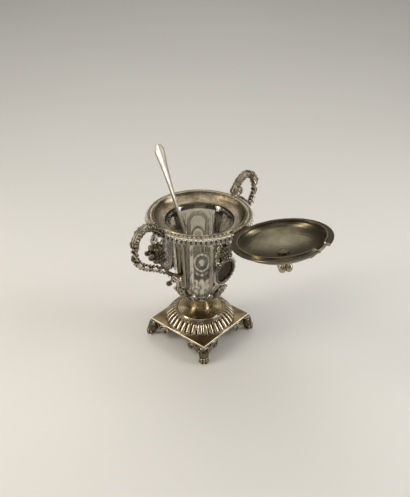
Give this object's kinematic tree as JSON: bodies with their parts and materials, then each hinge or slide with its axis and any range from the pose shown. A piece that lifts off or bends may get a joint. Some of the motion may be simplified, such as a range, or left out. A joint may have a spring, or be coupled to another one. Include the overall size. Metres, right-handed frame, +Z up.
{
  "type": "mustard pot",
  "caption": "Footed mustard pot: a silver cage with vine handles round a cut glass liner, with a domed lid hinged at the rim and notched for its spoon.",
  "frame": {"origin": "on the table under the pot's axis, level with the four foot pads", "axes": "+Z up along the pot's axis, +X towards one handle, +Y towards the lid's hinge"},
  "size_m": [0.139, 0.1486, 0.1527],
  "materials": {
    "old_silver": "satin",
    "dark_silver": "tarnished",
    "gilt_silver": "satin",
    "pale_silver": "polished",
    "glass": "polished"
  },
  "bodies": {
    "frame": {"leaf_cup": "old_silver", "wreath_upright_back": "old_silver", "wreath_upright_front": "old_silver", "plain_upright_right": "old_silver", "plain_upright_left": "old_silver", "mouth_rim": "old_silver", "vine_leaf_right": "old_silver", "vine_leaf_left": "old_silver", "hinge_seat": "old_silver", "foot_right_back": "dark_silver", "foot_left_back": "dark_silver", "foot_left_front": "dark_silver", "foot_right_front": "dark_silver", "handle_right": "dark_silver", "handle_left": "dark_silver", "grapes_right": "dark_silver", "grapes_left": "dark_silver", "base_plate": "gilt_silver", "gadroon_ring": "gilt_silver", "pedestal": "gilt_silver", "stem_collar": "gilt_silver", "base_bead": "pale_silver", "tie_bolt": "pale_silver", "tie_nut": "pale_silver", "egg_band": "pale_silver", "rim_bead": "pale_silver", "hinge_pin": "pale_silver"},
    "lid": {"lid_leaf": "old_silver", "lid_dome": "old_silver", "lid_bezel": "old_silver", "notch_border": "pale_silver", "finial": "gilt_silver", "finial_nut": "pale_silver"},
    "liner": {"glass_liner": "glass"},
    "spoon": {"mustard_spoon": "pale_silver"}
  },
  "joints": [
    {"name": "lid_hinge", "type": "hinge", "parent": "frame", "child": "lid", "pos_m": [0, 0.0368, 0.1098], "axis": [1, 0, 0], "range_deg": [0, 169]},
    {"name": "liner_lift", "type": "slide", "parent": "frame", "child": "liner", "axis": [0, 0, 1], "range_m": [0, 0.108]},
    {"name": "spoon_lift", "type": "slide", "parent": "liner", "child": "spoon", "axis": [0, 0, 1], "range_m": [0, 0.1]}
  ]
}
